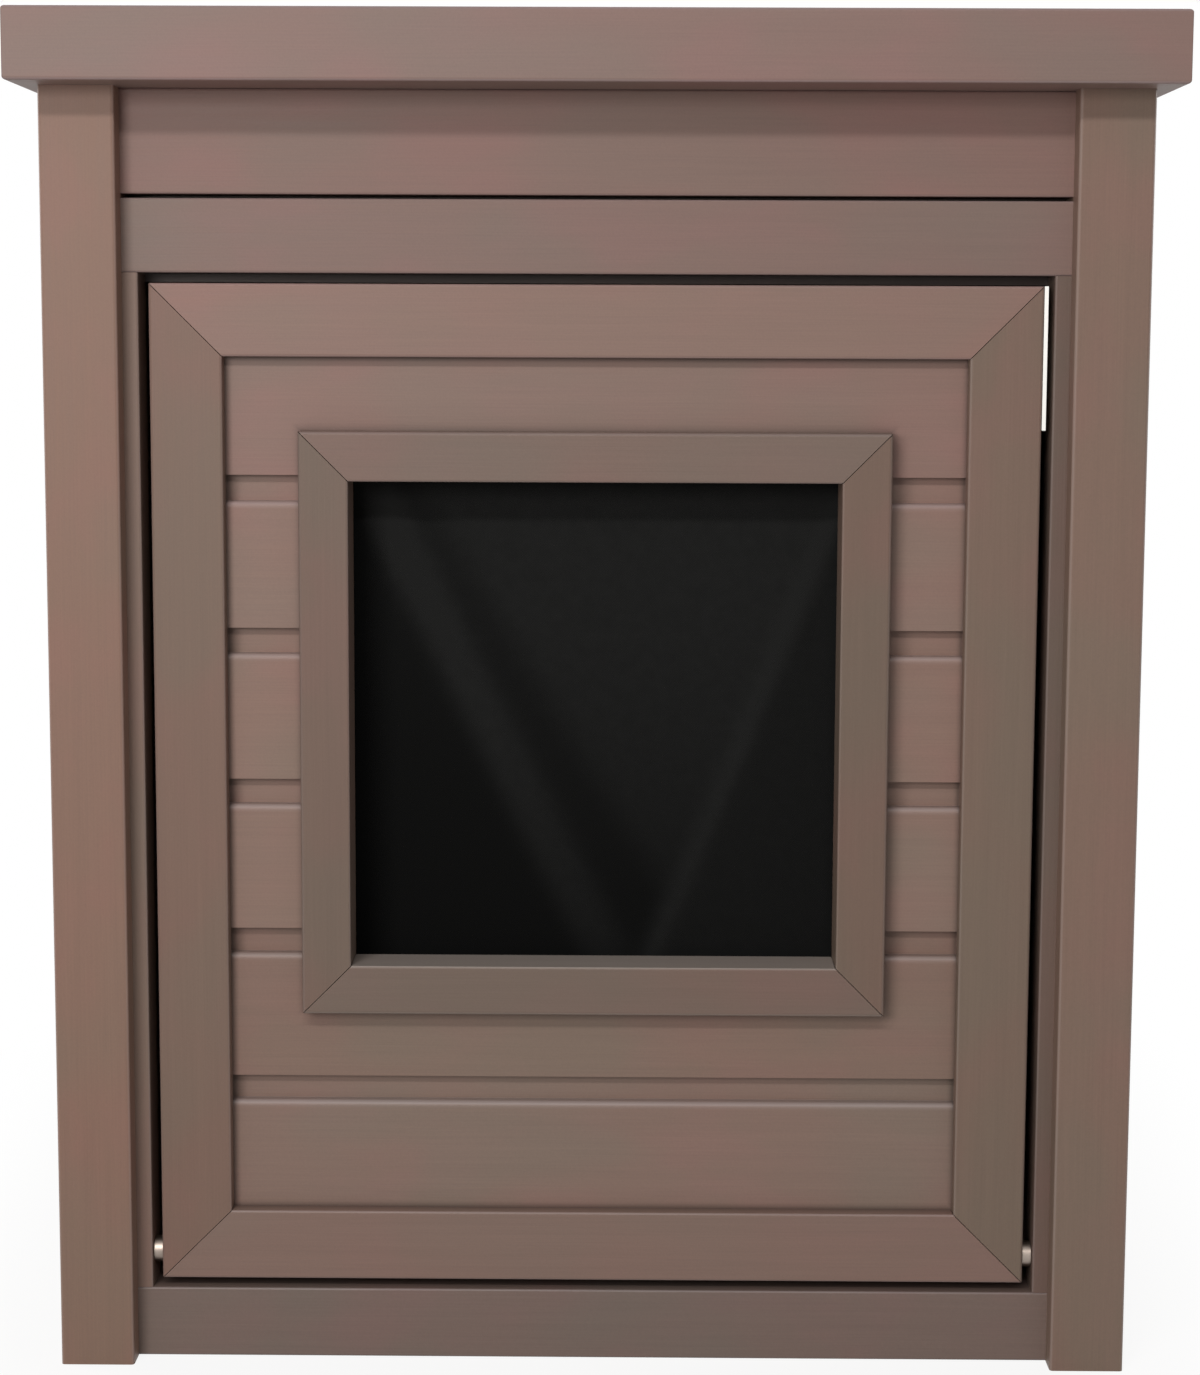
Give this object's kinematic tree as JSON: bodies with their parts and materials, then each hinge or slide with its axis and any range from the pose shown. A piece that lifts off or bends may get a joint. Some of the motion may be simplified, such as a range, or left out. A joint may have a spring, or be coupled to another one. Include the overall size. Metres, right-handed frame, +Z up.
{
  "type": "litter box cabinet",
  "caption": "End table cabinet that hides a cat litter pan, with a drop-front door on pins and a trimmed square cat entry with a cloth curtain.",
  "frame": {"origin": "on the floor, under the middle of the top", "axes": "+Z up, +Y from the door towards the back, +X to the right as seen from the front"},
  "size_m": [0.47, 0.6, 0.565],
  "materials": {
    "top_boards": "matt wood composite",
    "posts": "matt wood composite",
    "front_boards": "matt wood composite",
    "door_frame": "matt wood composite",
    "door_slats": "matt wood composite",
    "entry_trim": "matt wood composite",
    "wall_boards": "matt wood composite",
    "inner_boards": "matt wood composite",
    "plated_steel": "bright nickel",
    "pivot_steel": "bright zinc",
    "catch_plastic": "moulded",
    "magnet": "ground",
    "screws": "zinc",
    "hook_wire": "zinc",
    "curtain_cloth": "black weave"
  },
  "bodies": {
    "cabinet": {"back_bottom_rail": "wall_boards", "back_slats": "wall_boards", "back_top_rail": "wall_boards", "cabinet_screws": "screws", "catch_case": "catch_plastic", "catch_magnet": "magnet", "door_jamb_left": "front_boards", "door_jamb_right": "front_boards", "door_pivot_pins": "pivot_steel", "door_pivot_spacers": "pivot_steel", "floor_panel": "inner_boards", "front_bottom_rail": "front_boards", "front_top_rail": "front_boards", "header_board": "front_boards", "left_bottom_rail": "wall_boards", "left_slat_1": "wall_boards", "left_slat_2": "wall_boards", "left_slat_3": "wall_boards", "left_slat_4": "wall_boards", "left_slat_5": "wall_boards", "left_slat_6": "wall_boards", "left_slat_7": "wall_boards", "left_top_rail": "wall_boards", "post_front_left": "posts", "post_front_right": "posts", "post_rear_left": "posts", "post_rear_right": "posts", "right_bottom_rail": "wall_boards", "right_slat_1": "wall_boards", "right_slat_2": "wall_boards", "right_slat_3": "wall_boards", "right_slat_4": "wall_boards", "right_slat_5": "wall_boards", "right_slat_6": "wall_boards", "right_slat_7": "wall_boards", "right_top_rail": "wall_boards", "support_cleats": "inner_boards", "top_edge_front": "top_boards", "top_edge_left": "top_boards", "top_edge_rear": "top_boards", "top_edge_right": "top_boards", "top_panel": "top_boards"},
    "door": {"curtain_hooks": "hook_wire", "door_frame_bottom": "door_frame", "door_frame_left": "door_frame", "door_frame_right": "door_frame", "door_frame_top": "door_frame", "door_screws": "screws", "door_slat_1": "door_slats", "door_slat_2": "door_slats", "door_slat_3": "door_slats", "door_slat_4": "door_slats", "door_slat_5": "door_slats", "door_slat_6": "door_slats", "entry_trim_bottom": "entry_trim", "entry_trim_left": "entry_trim", "entry_trim_right": "entry_trim", "entry_trim_top": "entry_trim", "strike_plate": "plated_steel"},
    "curtain": {"entry_curtain": "curtain_cloth"}
  },
  "joints": [
    {"name": "door_hinge", "type": "hinge", "parent": "cabinet", "child": "door", "pos_m": [0, -0.256, 0.045], "axis": [1, 0, 0], "range_deg": [0, 94]},
    {"name": "curtain_swing", "type": "hinge", "parent": "door", "child": "curtain", "pos_m": [0, -0.2405, 0.3934], "axis": [1, 0, 0], "range_deg": [0, 80]}
  ]
}
